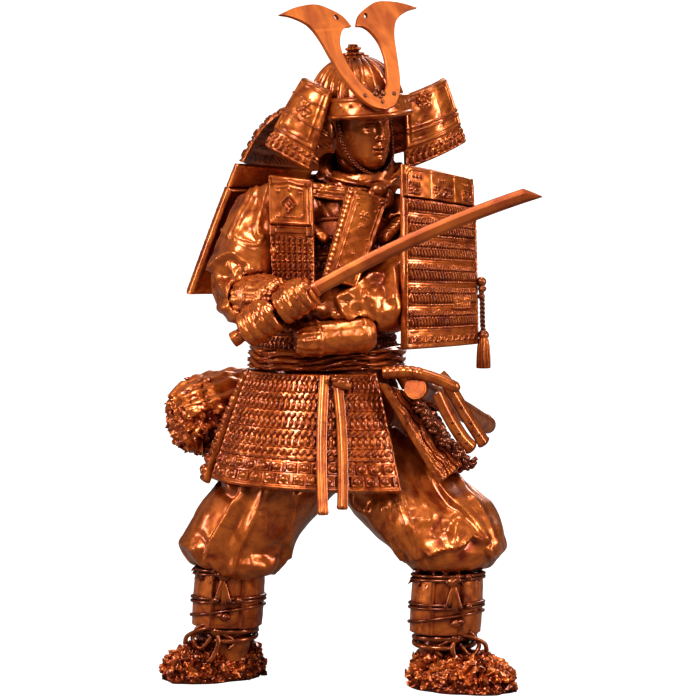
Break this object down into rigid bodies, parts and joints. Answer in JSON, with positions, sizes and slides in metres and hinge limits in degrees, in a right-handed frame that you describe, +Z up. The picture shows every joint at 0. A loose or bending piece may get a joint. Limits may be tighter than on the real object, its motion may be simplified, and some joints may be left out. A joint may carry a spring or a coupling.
{
  "type": "samurai figure",
  "caption": "Standing samurai warrior figure in laced armour and horned helmet, both hands holding a drawn curved sword across the chest; one-colour moulded plastic.",
  "frame": {"origin": "centre of the figure's bounding box, on the floor plane that the boot soles stand on", "axes": "+Z up along the figure's height; -Y towards the viewer of the reference view, which looks along +Y; +X to that viewer's right, the side the blade points to"},
  "size_m": [0.0884, 0.0638, 0.1589],
  "materials": {
    "plastic_cloth": "copper pearl moulded plastic, glossy, cloth parts",
    "plastic_fur": "copper pearl moulded plastic, rough fur texture",
    "plastic_cord": "copper pearl moulded plastic, moulded cords and wraps",
    "plastic_skin": "copper pearl moulded plastic, smooth face and hands",
    "plastic_blade": "copper pearl moulded plastic, smooth blade and guard",
    "plastic_armour": "copper pearl moulded plastic, glossy, armour plates"
  },
  "bodies": {
    "root": {"trouser_right": "plastic_cloth", "trouser_left": "plastic_cloth", "torso": "plastic_cloth", "belt": "plastic_cloth", "collar": "plastic_cloth", "sleeve_right": "plastic_cloth", "sleeve_left": "plastic_cloth", "lower_leg_right": "plastic_cloth", "lower_leg_left": "plastic_cloth", "boot_right": "plastic_fur", "boot_left": "plastic_fur", "quiver": "plastic_fur", "ankle_tie_right": "plastic_cord", "ankle_tie_left": "plastic_cord", "belt_end_long": "plastic_cord", "belt_end_short": "plastic_cord", "back_bow": "plastic_cord", "chin_cord": "plastic_cord", "shoulder_tassel": "plastic_cord", "sword_hilt": "plastic_cord", "hand_right": "plastic_skin", "hand_left": "plastic_skin", "head": "plastic_skin", "sword_blade": "plastic_blade", "sword_guard": "plastic_blade", "shin_guard_right": "plastic_armour", "shin_guard_left": "plastic_armour", "cuirass": "plastic_armour", "shoulder_strap_right": "plastic_armour", "shoulder_strap_left": "plastic_armour", "breast_plate_right": "plastic_armour", "breast_plate_left": "plastic_armour", "skirt_front": "plastic_armour", "skirt_left": "plastic_armour", "skirt_back": "plastic_armour", "skirt_right": "plastic_armour", "forearm_right": "plastic_armour", "forearm_left": "plastic_armour", "shoulder_cap_right": "plastic_armour", "shoulder_cap_left": "plastic_armour", "shoulder_board_right": "plastic_armour", "shoulder_board_left": "plastic_armour", "helmet_bowl": "plastic_armour", "helmet_finial": "plastic_armour", "visor": "plastic_armour", "neck_guard": "plastic_armour", "turnback_right": "plastic_armour", "turnback_left": "plastic_armour", "crest_horns": "plastic_armour", "crest_holder": "plastic_armour", "scabbard": "plastic_armour", "dagger": "plastic_armour"}
  },
  "joints": []
}
